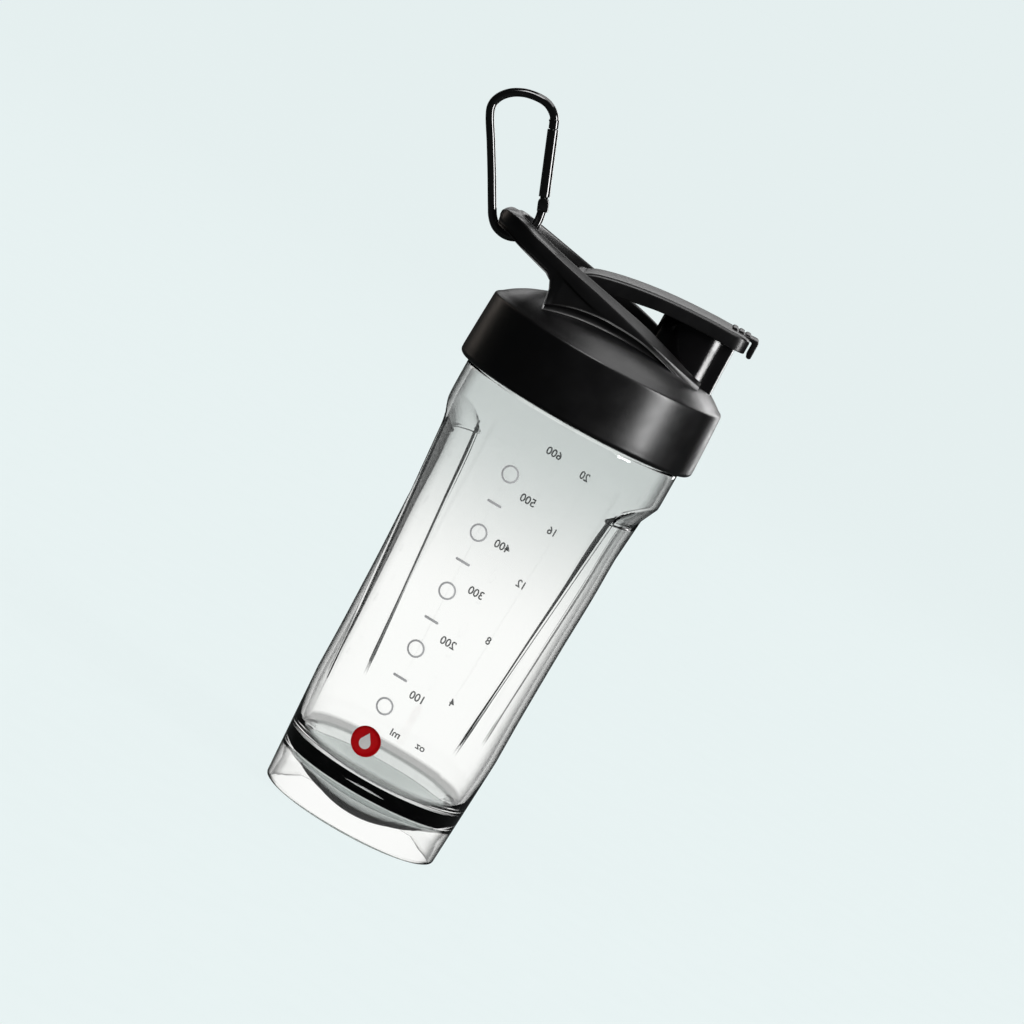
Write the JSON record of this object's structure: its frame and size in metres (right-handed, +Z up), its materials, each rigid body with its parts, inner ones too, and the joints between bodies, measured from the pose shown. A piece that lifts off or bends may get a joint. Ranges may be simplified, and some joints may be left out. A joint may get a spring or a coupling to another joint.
{
  "type": "protein shaker bottle",
  "caption": "Clear tapered shaker bottle with grip recesses, a black screw lid with spout, hinged flip cap, carry loop and a sprung wire clip.",
  "frame": {"origin": "on the surface that the bottle stands on, under the middle of the whole outline; the bottle's own axis is 18.2 mm towards +X", "axes": "+Z up along the bottle's axis, +X from the carry loop's end towards the spout, +Y to the back"},
  "size_m": [0.1366, 0.1004, 0.2792],
  "materials": {
    "clear_plastic": "clear, lightly smoked, polished",
    "black_plastic": "satin black moulded",
    "black_anodised": "gloss black anodised",
    "silicone": "soft grey silicone",
    "grey_plastic": "moulded grey",
    "steel": "plain steel"
  },
  "bodies": {
    "bottle": {"bottle_body": "clear_plastic"},
    "liner": {"mixing_grid": "grey_plastic", "lid_seal": "silicone"},
    "lid": {"lid_shell": "black_plastic", "carry_loop": "black_plastic", "cap_hinge_pin": "steel"},
    "cap": {"flip_cap": "black_plastic", "spout_stopper": "silicone"},
    "clip": {"clip_frame": "black_anodised", "gate_rivet": "steel"},
    "gate": {"clip_gate": "black_anodised", "gate_catch_pin": "steel", "gate_plunger": "steel", "gate_spring": "steel"}
  },
  "joints": [
    {"name": "lid_lift", "type": "slide", "parent": "bottle", "child": "liner", "axis": [0, 0, 1], "range_m": [0, 0.0271]},
    {"name": "lid_turn", "type": "hinge", "parent": "liner", "child": "lid", "pos_m": [0.0182, 0, 0.19], "axis": [0, 0, 1], "range_deg": [0, 810]},
    {"name": "cap_hinge", "type": "hinge", "parent": "lid", "child": "cap", "pos_m": [-0.0058, 0, 0.225], "axis": [0, -1, 0], "range_deg": [0, 100]},
    {"name": "clip_swing", "type": "hinge", "parent": "lid", "child": "clip", "pos_m": [-0.0391, 0, 0.2328], "axis": [0, -1, 0], "range_deg": [-12, 140]},
    {"name": "gate_hinge", "type": "hinge", "parent": "clip", "child": "gate", "pos_m": [-0.0314, 0, 0.2436], "axis": [0, -1, 0], "range_deg": [0, 26], "stiffness_Nm_per_rad": 0.02, "springref_deg": -22.92}
  ],
  "couplings": [
    {"joint": "lid_lift", "follows": "lid_turn", "m_per_rad": 0.0019099}
  ]
}
